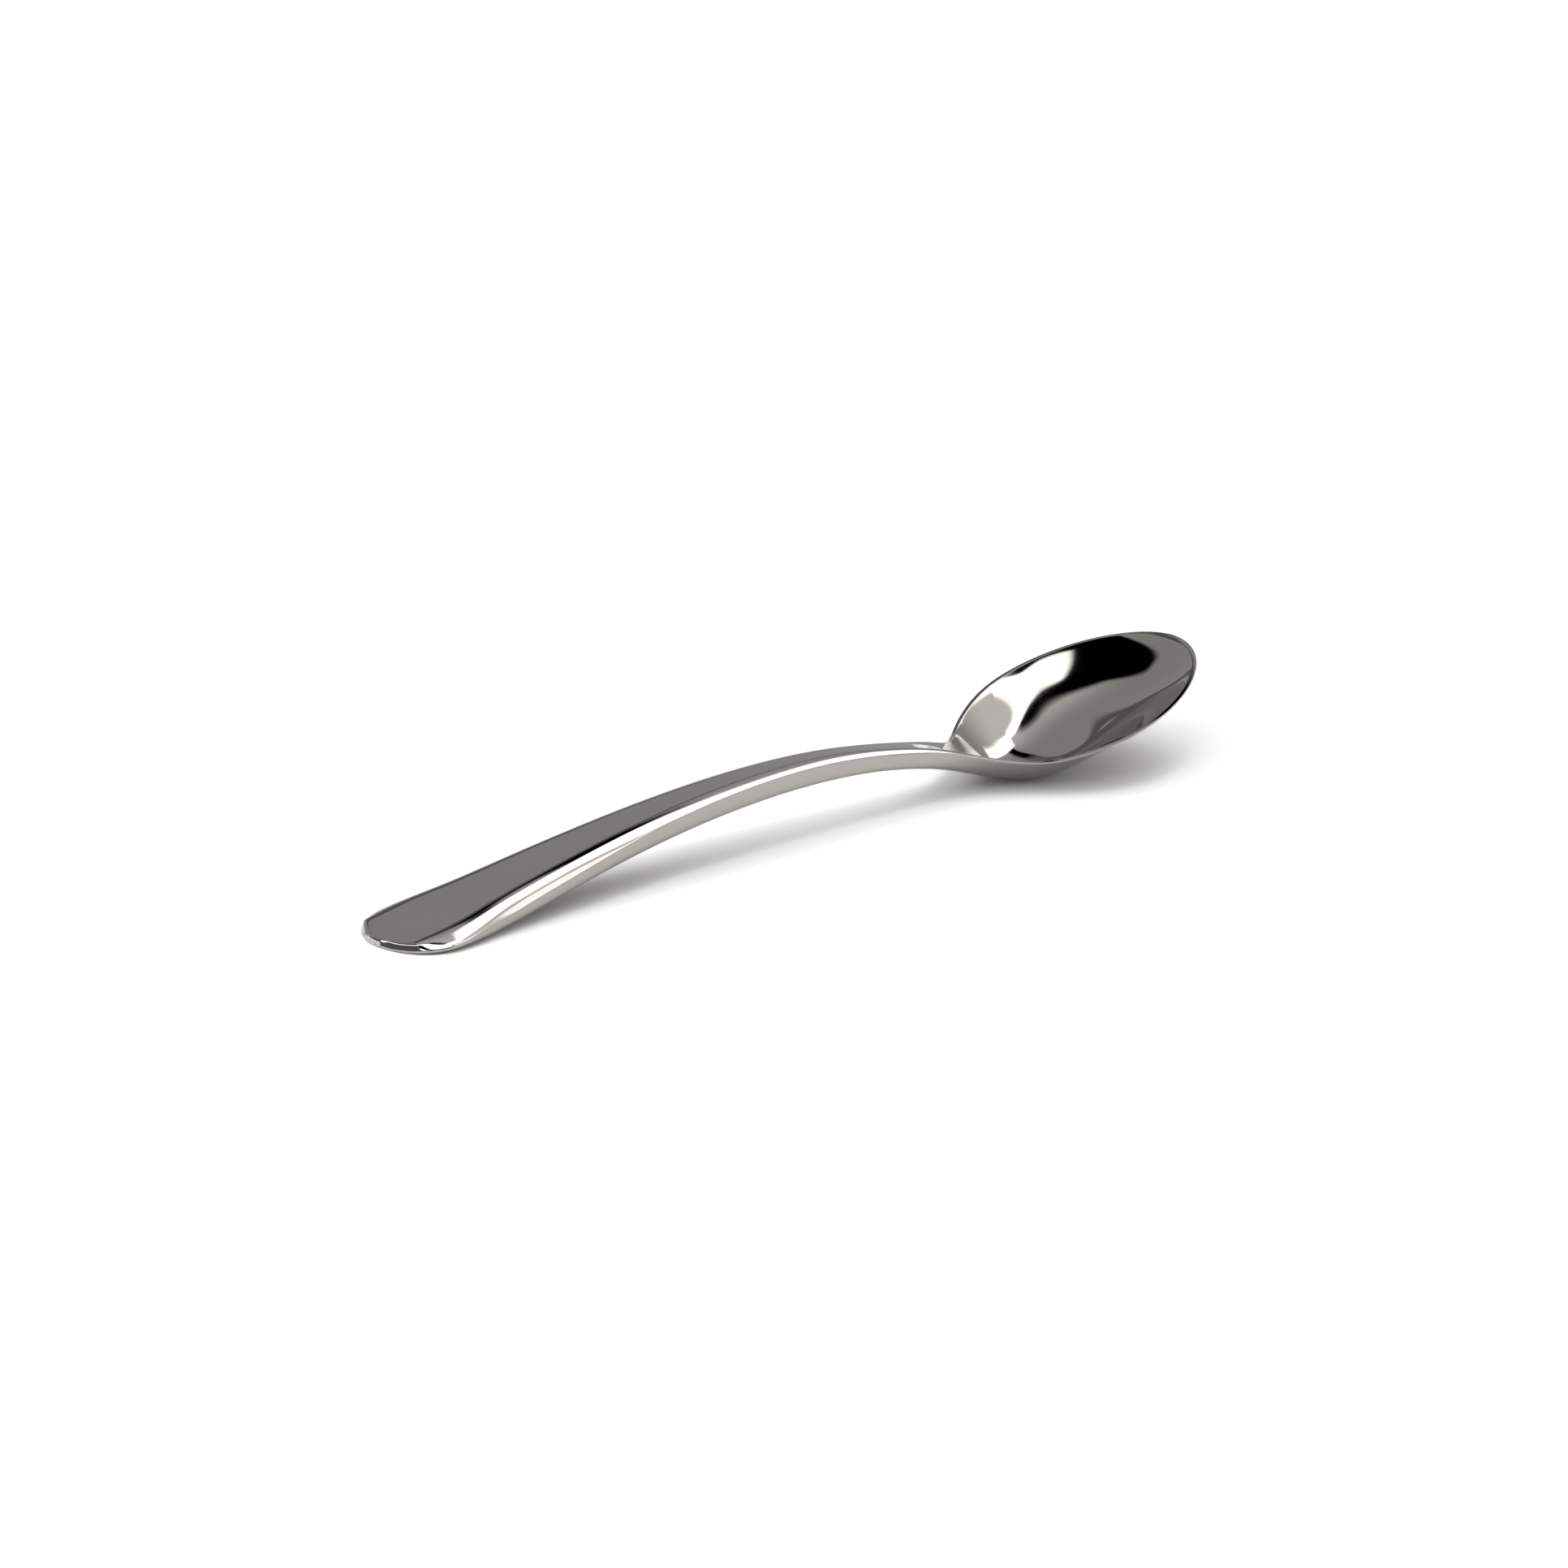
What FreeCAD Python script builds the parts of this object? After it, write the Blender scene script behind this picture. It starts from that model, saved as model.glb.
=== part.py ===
import FreeCAD, Part
import math
import os
from FreeCAD import Placement, Rotation, Vector

# A one-piece moulded spoon with a mirror-bright coat, lying on its back on a table.
# X runs from the round end of the handle to the tip of the bowl, Y goes across and Z is up.
# The origin is on the table, under the middle of the spoon's length.
# The handle is an open arch of flat-topped, boxy section: its end lies flat on the table, it climbs
# to the crest over a narrow waist, and its flat top runs down without a step into the hollow bowl.

# All sizes are in millimetres. Along the spoon each name is a station where its shape is set.
SIZES = {
    # How far each station is from the one before it, from the handle's end to the bowl's tip.
    "tail_reach": 8.5,
    "lift_reach": 8.5,
    "grip_reach": 10.0,
    "shank_reach": 21.0,
    "arch_reach": 22.0,
    "waist_reach": 18.0,
    "neck_reach": 16.0,
    "throat_reach": 9.0,
    "heel_reach": 6.0,
    "flare_reach": 6.0,
    "cheek_reach": 6.0,
    "beam_reach": 10.5,
    "scoop_reach": 11.5,
    "chin_reach": 7.0,
    "tip_reach": 5.0,
    # Full width over the parting edge, the sharp edge between the top and the sides.
    "tail_width": 20.4,
    "lift_width": 18.3,
    "grip_width": 15.85,
    "shank_width": 11.5,
    "arch_width": 8.7,
    "waist_width": 7.3,
    "neck_width": 6.8,
    "throat_width": 8.45,
    "heel_width": 13.0,
    "flare_width": 22.8,
    "cheek_width": 31.0,
    "beam_width": 36.8,
    # How round the two ends are in plan: 2 is an ellipse, less is more pointed.
    "tail_roundness": 2.0,
    "nose_roundness": 1.9,
    # Height of the handle's flat top above the table, and of the bowl's rim where that takes over.
    "end_top": 1.13,
    "tail_top": 2.62,
    "grip_top": 6.28,
    "shank_top": 9.99,
    "arch_top": 12.30,
    "waist_top": 12.31,
    "neck_top": 10.21,
    "throat_top": 8.13,
    "heel_top": 6.33,
    "flare_top": 5.85,
    "cheek_top": 7.20,
    "beam_top": 10.40,
    "tip_top": 17.65,
    # Height of the middle of the underside, which touches the table from the end to the tail
    # and again at the bottom of the bowl.
    "lift_under": 0.20,
    "grip_under": 1.77,
    "shank_under": 5.31,
    "arch_under": 7.74,
    "waist_under": 8.07,
    "neck_under": 6.43,
    "throat_under": 4.27,
    "heel_under": 2.24,
    "flare_under": 0.50,
    "cheek_under": 0.10,
    "beam_under": 3.80,
    "scoop_under": 8.25,
    "chin_under": 12.55,
    "tip_under": 16.70,
    # Width in plan of the shoulder that falls from the flat top to the parting edge. On the bowl it
    # is the width of the rim.
    "end_shoulder": 0.50,
    "tail_shoulder": 3.25,
    "grip_shoulder": 2.85,
    "shank_shoulder": 2.35,
    "arch_shoulder": 2.20,
    "waist_shoulder": 1.98,
    "neck_shoulder": 1.42,
    "flare_shoulder": 0.80,
    # How far the shoulder falls.
    "end_drop": 0.80,
    "tail_drop": 1.37,
    "shank_drop": 1.00,
    "waist_drop": 0.68,
    "neck_drop": 0.56,
    "flare_drop": 0.10,
    # Height of the upright land under the parting edge.
    "handle_land": 0.28,
    "rim_land": 0.20,
    # The hollow of the bowl: wall between its bottom and the underside.
    "throat_wall": 3.15,
    "heel_wall": 1.95,
    "flare_wall": 1.20,
    "cheek_wall": 1.05,
    "beam_wall": 1.00,
    # The broken stub of the sprue on the handle's end.
    "gate_width": 4.4,
    "gate_height": 0.80,
    "gate_stub": 0.30,
    "gate_offset": 1.0,
    "gate_lift": 0.16,
    "gate_root": 1.2,
    "gate_taper": 0.25,
    # Both round ends are cut off square this far before their very tip.
    "tip_flat": 0.15,
    # Largest distance between two sections.
    "handle_pitch": 7.4,
    "bowl_pitch": 3.1,
}

# Shape of a section without a unit. The underside's control points are given as a share of the
# half width (floor), as the draft of the wall, and as the wall's share of the depth.
SHAPES = {
    "handle_floor": 0.80,
    "handle_draft": 0.05,
    "handle_wallness": 0.75,
    "bowl_floor": 0.42,
    "bowl_draft": 0.58,
    "bowl_wallness": 0.90,
    "shoulder_crown": 0.60,
    "shoulder_fall": 0.22,
    # The handle's underside is parted here into wall, rounded corner and floor, from the middle out.
    "floor_end": 0.36,
    "corner_end": 0.78,
    # The flat top's least width near both tips, as a share of the section's width.
    "tip_face": 0.30,
}

doc = FreeCAD.newDocument("spoon")
sheet = doc.addObject("Spreadsheet::Sheet", "sizes")
for row, (name, value) in enumerate(list(SIZES.items()) + list(SHAPES.items()), start=1):
    sheet.set("A%d" % row, name)
    sheet.set("B%d" % row, str(value))
    sheet.setAlias("B%d" % row, name)
doc.recompute()


def size(name):
    return float(sheet.get(name))


def spline(points, first_slope, last_slope):
    """The smooth curve y(x) through the points. A slope of None leaves that end straight."""
    xs = [p[0] for p in points]
    ys = [p[1] for p in points]
    n = len(xs)
    gaps = [xs[i + 1] - xs[i] for i in range(n - 1)]
    rises = [(ys[i + 1] - ys[i]) / gaps[i] for i in range(n - 1)]
    # Rows of the equations for the slope at each point: before, own, after, right side.
    rows = [(gaps[i], 2 * (gaps[i - 1] + gaps[i]), gaps[i - 1],
             3 * (rises[i - 1] * gaps[i] + rises[i] * gaps[i - 1])) for i in range(1, n - 1)]
    rows.insert(0, (0, 2, 1, 3 * rises[0]) if first_slope is None else (0, 1, 0, first_slope))
    rows.append((1, 2, 0, 3 * rises[-1]) if last_slope is None else (0, 1, 0, last_slope))
    after = [rows[0][2] / rows[0][1]]
    right = [rows[0][3] / rows[0][1]]
    for before, own, later, side in rows[1:]:
        pivot = own - before * after[-1]
        right.append((side - before * right[-1]) / pivot)
        after.append(later / pivot)
    slopes = [right[-1]]
    for i in range(n - 2, -1, -1):
        slopes.insert(0, right[i] - after[i] * slopes[0])

    def value(x):
        if x <= xs[0]:
            return ys[0] + slopes[0] * (x - xs[0])
        if x >= xs[-1]:
            return ys[-1] + slopes[-1] * (x - xs[-1])
        i = max(k for k in range(n - 1) if xs[k] <= x)
        t = (x - xs[i]) / gaps[i]
        from_left = ys[i] * (1 + 2 * t) + gaps[i] * slopes[i] * t
        from_right = ys[i + 1] * (3 - 2 * t) - gaps[i] * slopes[i + 1] * (1 - t)
        return from_left * (1 - t) ** 2 + from_right * t ** 2

    return value


STATIONS = ("end", "tail", "lift", "grip", "shank", "arch", "waist", "neck", "throat", "heel",
            "flare", "cheek", "beam", "scoop", "chin", "tip")
AT = {"end": 0.0}
for before, station in zip(STATIONS, STATIONS[1:]):
    AT[station] = AT[before] + size(station + "_reach")
LENGTH = AT["tip"]
RIM = size("flare_shoulder")


def law(quantity, stations, first_slope=None, last_slope=None, start=()):
    """The curve through this quantity's sizes at the stations, after an optional first point."""
    points = [(AT[station], size(station + quantity)) for station in stations.split()]
    return spline(list(start) + points, first_slope, last_slope)


width_law = law("_width", "tail lift grip shank arch waist neck throat heel flare cheek beam", 0.0, 0.0)
top_law = law("_top", "end tail grip shank arch waist neck throat heel flare cheek beam tip")
under_law = law("_under", "lift grip shank arch waist neck throat heel flare cheek beam scoop chin tip",
                0.0, None, [(AT["tail"], 0.0)])
shoulder_law = law("_shoulder", "tail grip shank arch waist neck flare", None, 0.0)
drop_law = law("_drop", "end tail shank waist neck flare", None, 0.0)


def solid_height(x):
    return top_law(x) - under_law(x)


# Step over which a slope is taken.
NEAR = 0.1

# The wall under the hollow starts at the neck, where it is as thick as the neck and grows with it.
neck_growth = (solid_height(AT["neck"] + NEAR) - solid_height(AT["neck"])) / NEAR
wall_law = law("_wall", "throat heel flare cheek beam", neck_growth, 0.0,
               [(AT["neck"], solid_height(AT["neck"]))])


def ease(x):
    """From 0 on the handle, up to the neck, to 1 in the bowl, from the flare on."""
    t = min(max((x - AT["neck"]) / (AT["flare"] - AT["neck"]), 0.0), 1.0)
    return t * t * (3 - 2 * t)


def blend(handle, bowl, x):
    return size(handle) + (size(bowl) - size(handle)) * ease(x)


def rounded(along, reach, half, roundness):
    """Half width of a round end, at a distance from its widest place."""
    share = min(max(along / reach, 0.0), 1.0)
    return half * (1 - share ** roundness) ** (1 / roundness)


def outline(x, inset):
    """Half width of the plan outline, moved in by the inset."""
    if x < AT["tail"]:
        reach = size("tail_reach")
        half = size("tail_width") / 2
        return rounded(AT["tail"] - x, reach - inset, half - inset, size("tail_roundness"))
    if x > AT["beam"]:
        reach = LENGTH - AT["beam"]
        half = size("beam_width") / 2
        return rounded(x - AT["beam"], reach - inset, half - inset, size("nose_roundness"))
    return width_law(x) / 2 - inset


def side_face(x):
    """Half width of the flat top between the long shoulders, carried on straight to the end."""
    tail = AT["tail"]
    if x < tail:
        slope = (side_face(tail + NEAR) - side_face(tail)) / NEAR
        return side_face(tail) + slope * (x - tail)
    if x > AT["flare"]:
        return outline(x, RIM)
    return width_law(x) / 2 - shoulder_law(x)


def corner_at():
    """Where the end's narrow shoulder meets the wide side shoulders in a corner."""
    low = size("end_shoulder")
    high = AT["tail"]
    for _ in range(40):
        middle = (low + high) / 2
        if outline(middle, size("end_shoulder")) < side_face(middle):
            low = middle
        else:
            high = middle
    return low


CORNER = corner_at()
LIP = LENGTH - RIM - size("tip_flat")


def section(x, name, dished, boxed):
    """The closed outline across the spoon at x: top, shoulders, lands and underside.

    A dished top is a trough, any other a straight line. A boxed underside is parted at its corners.
    """
    half = outline(x, 0.0)
    drop = drop_law(x)
    edge = top_law(x) - drop
    if x <= CORNER:
        face = outline(x, size("end_shoulder"))
        past = max(0.0, 1 - x / size("end_shoulder"))
    else:
        face = side_face(x)
        past = max(0.0, 1 - (LENGTH - x) / RIM)
    face = max(face, size("tip_face") * half)
    top = top_law(x) - drop * past ** 2
    land = edge - blend("handle_land", "rim_land", x)
    under = under_law(x) if x > AT["tail"] else 0.0
    floor = blend("handle_floor", "bowl_floor", x)
    draft = blend("handle_draft", "bowl_draft", x)
    wallness = blend("handle_wallness", "bowl_wallness", x)

    def at(y, z):
        return Vector(x, y, z)

    def side_poles(width, brim, deep):
        """Control points of a trough's half, from the middle out to its brim."""
        return [at(0, brim - deep),
                at(width * floor, brim - deep),
                at(width * (1 - draft), brim - wallness * deep),
                at(width, brim)]

    def trough(width, brim, deep):
        """One smooth curve from the side where width is taken to the other."""
        near = side_poles(width, brim, deep)
        far = side_poles(-width, brim, deep)
        curve = Part.BSplineCurve()
        curve.buildFromPolesMultsKnots(near[::-1] + far[1:], [4, 3, 4], [0, 1, 2], False, 3)
        return [curve.toShape()]

    def box_trough(width, brim, deep):
        """The same curve in six edges: wall, corner and floor, floor, corner and wall."""
        parts = [0.0, size("floor_end"), size("corner_end"), 1.0]
        edges = []
        for side in (width, -width):
            for start, stop in zip(parts, parts[1:]):
                curve = Part.BezierCurve()
                curve.setPoles(side_poles(side, brim, deep))
                curve.segment(start, stop)
                edges.append(curve.toShape())
        return edges[2::-1] + edges[3:]

    def shoulder(side):
        curve = Part.BezierCurve()
        middle = at(side * (face + size("shoulder_crown") * (half - face)),
                    top - size("shoulder_fall") * (top - edge))
        curve.setPoles([at(side * face, top), middle, at(side * half, edge)])
        return curve.toShape()

    flat = Part.makeLine(at(-face, top), at(face, top))
    hollow = max(0.0, solid_height(x) - wall_law(x))
    edges = trough(-face, top, hollow) if dished else [flat]
    edges += [shoulder(1), Part.makeLine(at(half, edge), at(half, land))]
    edges += (box_trough if boxed else trough)(half, land, land - under)
    edges += [Part.makeLine(at(-half, land), at(-half, edge)), shoulder(-1)]
    feature = doc.addObject("Part::Feature", name)
    feature.Shape = Part.Wire(edges)
    return feature


def loft(label, places, dished, boxed):
    feature = doc.addObject("Part::Loft", label)
    feature.Sections = [section(x, "%s_section" % label, dished, boxed) for x in places]
    feature.Solid = True
    feature.Ruled = False
    return feature


def between(first, last, pitch):
    """Evenly spaced places from first up to, but not at, last."""
    parts = math.ceil((last - first) / pitch)
    return [first + (last - first) * i / parts for i in range(parts)]


# Sections stand close together where the outline bends, and further apart on the straight handle.
FLAT_END = size("tip_flat")
END_SECTIONS = 6
NOSE_SECTIONS = 11
end_places = [FLAT_END + (CORNER - FLAT_END) * (i / (END_SECTIONS - 1)) ** 1.6
              for i in range(END_SECTIONS)]
handle_places = between(CORNER, AT["tail"], size("bowl_pitch"))
for before, station in zip(STATIONS[1:], STATIONS[2:8]):
    handle_places += between(AT[before], AT[station], size("handle_pitch"))
handle_places.append(AT["neck"])
bowl_places = []
for before, station in zip(STATIONS[7:], STATIONS[8:13]):
    bowl_places += between(AT[before], AT[station], size("bowl_pitch"))
NOSE = LENGTH - AT["beam"]
nose_angle = math.asin((LIP - AT["beam"]) / NOSE)
bowl_places += [AT["beam"] + NOSE * math.sin(nose_angle * i / (NOSE_SECTIONS - 1))
                for i in range(NOSE_SECTIONS)]
lip_places = [LIP, (LIP + LENGTH - FLAT_END) / 2, LENGTH - FLAT_END]

end = loft("handle_end", end_places, False, True)
handle = loft("handle", handle_places, False, True)
bowl = loft("bowl", bowl_places, True, False)
lip = loft("bowl_lip", lip_places, False, False)

# The stub is a low block that narrows outwards. Its own Y points out of the handle's end.
gate = doc.addObject("Part::Wedge", "gate")
for prop, formula in {
    "Xmin": "0",
    "Xmax": "sizes.gate_width",
    "X2min": "sizes.gate_taper",
    "X2max": "sizes.gate_width - sizes.gate_taper",
    "Ymin": "0",
    "Ymax": "sizes.gate_root + sizes.gate_stub",
    "Zmin": "0",
    "Zmax": "sizes.gate_height",
    "Z2min": "sizes.gate_taper / 2",
    "Z2max": "sizes.gate_height - sizes.gate_taper / 2",
}.items():
    gate.setExpression(prop, formula)
gate.Placement = Placement(Vector(), Rotation(Vector(0, 0, 1), 90))
gate.setExpression("Placement.Base.x", "sizes.gate_root")
gate.setExpression("Placement.Base.y", "sizes.gate_offset - sizes.gate_width / 2")
gate.setExpression("Placement.Base.z", "sizes.gate_lift")

spoon = doc.addObject("Part::MultiFuse", "whole")
spoon.Label = "spoon"
spoon.Shapes = [end, handle, bowl, lip, gate]
doc.recompute()
box = spoon.Shape.optimalBoundingBox()
spoon.Placement = Placement(Vector(-(box.XMin + box.XMax) / 2, 0, -box.ZMin), Rotation())
doc.recompute()

for item in doc.Objects:
    if "Invalid" in item.State or "Error" in item.State:
        raise RuntimeError("%s did not build" % item.Name)
for item in (spoon,):
    shape = item.Shape
    if shape.isNull() or not shape.isValid() or len(shape.Solids) != 1:
        raise RuntimeError("%s is not one valid solid" % item.Label)

os.makedirs("parts", exist_ok=True)
spoon.Shape.exportStep("parts/%s.step" % spoon.Label)
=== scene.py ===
import math
import random

import bpy
import numpy as np
from bpy.props import FloatProperty, FloatVectorProperty, IntProperty, PointerProperty
from bpy.types import Operator, Panel, PropertyGroup
from mathutils import Matrix, Vector


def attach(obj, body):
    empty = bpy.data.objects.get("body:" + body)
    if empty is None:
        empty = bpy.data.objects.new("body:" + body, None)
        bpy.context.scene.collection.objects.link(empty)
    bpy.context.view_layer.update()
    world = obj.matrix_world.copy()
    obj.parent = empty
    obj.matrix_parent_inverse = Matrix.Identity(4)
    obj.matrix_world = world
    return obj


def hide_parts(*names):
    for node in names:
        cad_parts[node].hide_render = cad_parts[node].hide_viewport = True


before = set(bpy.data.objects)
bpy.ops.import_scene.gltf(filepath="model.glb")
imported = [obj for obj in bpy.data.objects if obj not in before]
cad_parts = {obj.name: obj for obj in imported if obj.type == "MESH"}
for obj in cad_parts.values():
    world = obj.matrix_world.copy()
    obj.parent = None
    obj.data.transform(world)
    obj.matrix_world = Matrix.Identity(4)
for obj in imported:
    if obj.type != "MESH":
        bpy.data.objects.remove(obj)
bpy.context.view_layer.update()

bl_info = {
    "name": "Bright Silver Spoon",
    "version": (1, 0, 0),
    "blender": (4, 5, 0),
    "location": "View3D > Sidebar > Spoon",
    "description": "Builds a one-piece moulded spoon with a mirror-bright coat, and its studio",
    "category": "Add Mesh",
}

# A one-piece moulded spoon with a mirror-bright coat, lying on its back on a table. X runs from the
# round end of the handle to the tip of the bowl, Y goes across and Z is up.
MM = 0.001

# The spoon's sizes are in millimetres.
# Distance of each station from the round end of the handle.
AT = {
    "end": 0.0, "tail": 8.5, "lift": 17.0, "grip": 27.0, "shank": 48.0, "arch": 70.0,
    "waist": 88.0, "neck": 104.0, "throat": 113.0, "heel": 119.0, "flare": 125.0,
    "cheek": 131.0, "beam": 141.5, "scoop": 153.0, "chin": 160.0, "tip": 165.0,
}
# Full width over the sharp parting edge.
WIDTH = {
    "tail": 20.4, "lift": 18.3, "grip": 15.85, "shank": 11.5, "arch": 8.7, "waist": 7.3,
    "neck": 6.8, "throat": 8.45, "heel": 13.0, "flare": 22.8, "cheek": 31.0, "beam": 36.8,
}
# Height of the flat top of the handle, and of the rim of the bowl.
TOP = {
    "end": 1.13, "tail": 2.62, "grip": 6.28, "shank": 9.99, "arch": 12.30, "waist": 12.31,
    "neck": 10.21, "throat": 8.13, "heel": 6.33, "flare": 5.85, "cheek": 7.20, "beam": 10.40,
    "tip": 17.65,
}
# Height of the middle of the underside.
UNDER = {
    "tail": 0.0, "lift": 0.20, "grip": 1.77, "shank": 5.31, "arch": 7.74, "waist": 8.07,
    "neck": 6.43, "throat": 4.27, "heel": 2.24, "flare": 0.50, "cheek": 0.10, "beam": 3.80,
    "scoop": 8.25, "chin": 12.55, "tip": 16.70,
}
# Width and fall of the shoulder between the flat top and the parting edge.
SHOULDER = {
    "tail": 3.25, "grip": 2.85, "shank": 2.35, "arch": 2.20, "waist": 1.98, "neck": 1.42,
    "flare": 0.80,
}
DROP = {"end": 0.80, "tail": 1.37, "shank": 1.00, "waist": 0.68, "neck": 0.56, "flare": 0.10}
# Wall under the hollow of the bowl.
WALL = {"throat": 3.15, "heel": 1.95, "flare": 1.20, "cheek": 1.05, "beam": 1.00}

# The bowl ends this far before the tip station, where the solid is cut off square.
TIP_FLAT = 0.15
BOWL_END = AT["tip"] - TIP_FLAT
RIM = SHOULDER["flare"]
LIP = BOWL_END - RIM
# Width of the narrow shoulder round the handle's end.
END_SHOULDER = 0.50
# Height of the upright land under the parting edge, on the handle and on the bowl.
HANDLE_LAND = 0.28
RIM_LAND = 0.20
# How round the two ends are in plan: 2 is an ellipse, less is more pointed.
TAIL_ROUNDNESS = 2.0
NOSE_ROUNDNESS = 1.9
# Middle of the spoon's length from the handle's end, with the stub of the sprue counted in.
STUB_REACH = 0.30
MIDDLE = (BOWL_END - STUB_REACH) / 2

# Bezier poles of a trough: share of the half width, draft of the wall, share of the depth.
HANDLE_TROUGH = (0.92, 0.025, 0.82)
BOWL_TROUGH = (0.42, 0.58, 0.90)
NOSE_TROUGH = (1 / 3, 1 / 3, 2 / 3)
# Middle pole of the shoulder: share of its width outwards, and share of its fall.
SHOULDER_CROWN = 0.57
SHOULDER_FALL = 0.38
# Share of the crease's rounding that is left where the handle meets the bowl.
CREASE_LEFT = 0.25
# The top keeps at least this share of the half width where the ends close.
TIP_FACE = 0.30
# A rounding takes off at most this share of a strip.
MOST_CUT = 0.30
# How far the skin stays inside the solid's box.
CLEARANCE = 0.005
# Step over which a slope is taken, halvings in the search for the corner, and the least divisor.
NEAR = 0.1
HALVINGS = 40
TINY = 1e-9
# Samples along each round end and along the body, for spacing the sections.
END_SAMPLES = 1200
BODY_SAMPLES = 2400
# Sections stand this far on both sides of the corner, and no others come this near to a mark.
CORNER_GAP = 0.02
MARK_GAP = 0.08
POLES_PER_STRIP = 4

# The break: faces across and up, how far its corners are thrown about and how far it stands out.
BREAK_ACROSS = 22
BREAK_UP = 6
THROW_ACROSS = 0.06
THROW_UP = 0.03
LEAST_OUT = 0.02
MOST_OUT = 0.15
SUNK = 0.02
# Full turn and least and most stretch of the shards in it.
FULL_TURN = 6.283
SHARD_LEAST = (0.35, 0.25, 0.45)
SHARD_MOST = (0.75, 0.6, 1.0)

PLASTIC_ROUGHNESS = 0.12
PLASTIC_IOR = 1.59
PLASTIC_CLEARNESS = 0.30
FLOOR_ROUGHNESS = 0.9
FLOOR_SHEEN = 0.1
# Half the side of the square floor, in metres.
FLOOR_REACH = 4.0

# The camera: degrees off straight across the spoon, degrees above the table, and its place in metres.
VIEW_TURN = 39.2
VIEW_DOWN = 18.5
CAMERA_AT = (-0.43077, -0.52420, 0.23516)
CLIP_START = 0.01
SENSOR_WIDTH = 36.0
# The focal length and the side of the picture, in the picture's own pixels.
FOCAL_PIXELS = 5500
PICTURE_PIXELS = 1932


class SpoonSettings(PropertyGroup):
    """Sizes and look of the spoon."""

    crease_round: FloatProperty(
        name="Crease Rounding", description="Rounding between the flat top and the shoulder, at the tail",
        default=0.00085, min=0.00002, max=0.0012, precision=5, unit="LENGTH")
    parting_round: FloatProperty(
        name="Parting Rounding", description="Rounding of the sharp edge all round the spoon",
        default=0.00010, min=0.00001, max=0.0003, precision=5, unit="LENGTH")
    under_round: FloatProperty(
        name="Underside Rounding", description="Rounding between the land and the underside",
        default=0.00012, min=0.00001, max=0.0004, precision=5, unit="LENGTH")
    spacing: FloatProperty(
        name="Section Spacing", description="Distance between sections, along the outline",
        default=0.00050, min=0.0002, max=0.004, precision=5, unit="LENGTH")
    top_steps: IntProperty(
        name="Top Steps", description="Faces across half of the top", default=24, min=4, max=64)
    side_steps: IntProperty(
        name="Shoulder Steps", description="Faces across a shoulder", default=9, min=2, max=32)
    round_steps: IntProperty(
        name="Rounding Steps", description="Faces across each rounded edge", default=4, min=1, max=16)
    under_steps: IntProperty(
        name="Underside Steps", description="Faces across half of the underside", default=26,
        min=4, max=64)
    silver: FloatVectorProperty(
        name="Silver", description="Colour of the mirror-bright coat", subtype="COLOR",
        default=(0.37, 0.355, 0.335), min=0.0, max=1.0)
    roughness: FloatProperty(
        name="Roughness", description="Blur of the reflections in the coat", default=0.045,
        min=0.0, max=1.0, subtype="FACTOR")


class ScarSettings(PropertyGroup):
    """The place where the sprue was snapped off the handle's end."""

    width: FloatProperty(
        name="Width", description="Width of the break across the handle's end",
        default=0.0044, min=0.001, max=0.008, precision=4, unit="LENGTH")
    offset: FloatProperty(
        name="Offset", description="How far the middle of the break sits from the spoon's middle",
        default=0.0010, min=-0.004, max=0.004, precision=4, unit="LENGTH")
    low: FloatProperty(
        name="Low Edge", description="Height of the lower edge of the break",
        default=0.00018, min=0.0, max=0.001, precision=5, unit="LENGTH")
    high: FloatProperty(
        name="High Edge", description="Height of the upper edge of the break",
        default=0.00092, min=0.0005, max=0.002, precision=5, unit="LENGTH")
    shard: FloatProperty(
        name="Shard Size", description="Largest radius of a shard in the break",
        default=0.00013, min=0.00002, max=0.0004, precision=5, unit="LENGTH")
    density: FloatProperty(
        name="Shard Density", description="Shards per square metre of the break",
        default=3.0e7, min=1.0e6, max=1.0e8)
    seed: IntProperty(name="Seed", description="Seed of the break's pattern", default=4, min=0)
    plastic: FloatVectorProperty(
        name="Plastic", description="Colour of the bare plastic under the coat", subtype="COLOR",
        default=(0.88, 0.85, 0.83), min=0.0, max=1.0)


class StudioSettings(PropertyGroup):
    """Floor and light."""

    floor: FloatVectorProperty(
        name="Floor", description="Colour of the table and floor", subtype="COLOR",
        default=(0.90, 0.90, 0.90), min=0.0, max=1.0)
    fill: FloatProperty(
        name="Background Fill", description="Light the floor shows of its own, up to white",
        default=0.03, min=0.0, max=1.0)
    room: FloatProperty(
        name="Room", description="Brightness of the grey room", default=0.60, min=0.0, max=2.0)
    softbox: FloatProperty(
        name="Softbox", description="Brightness of the softboxes", default=3.9, min=0.0, max=20.0)
    glow: FloatProperty(
        name="Glow", description="Brightness of the lit wall beside the softboxes", default=1.55,
        min=0.0, max=4.0)
    haze: FloatProperty(
        name="Haze", description="Brightness of the lit cloth below the far softbox", default=3.3,
        min=0.0, max=4.0)
    dusk: FloatProperty(
        name="Dusk", description="Brightness of the dim side of the room", default=0.22,
        min=0.0, max=2.0)
    gap: FloatProperty(
        name="Gap", description="Brightness of the black cloth beside the softboxes", default=0.0,
        min=0.0, max=2.0)
    lamp: FloatProperty(
        name="Lamp", description="Strength of the lamp that lights the table", default=1.5,
        min=0.0, max=20.0)


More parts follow.
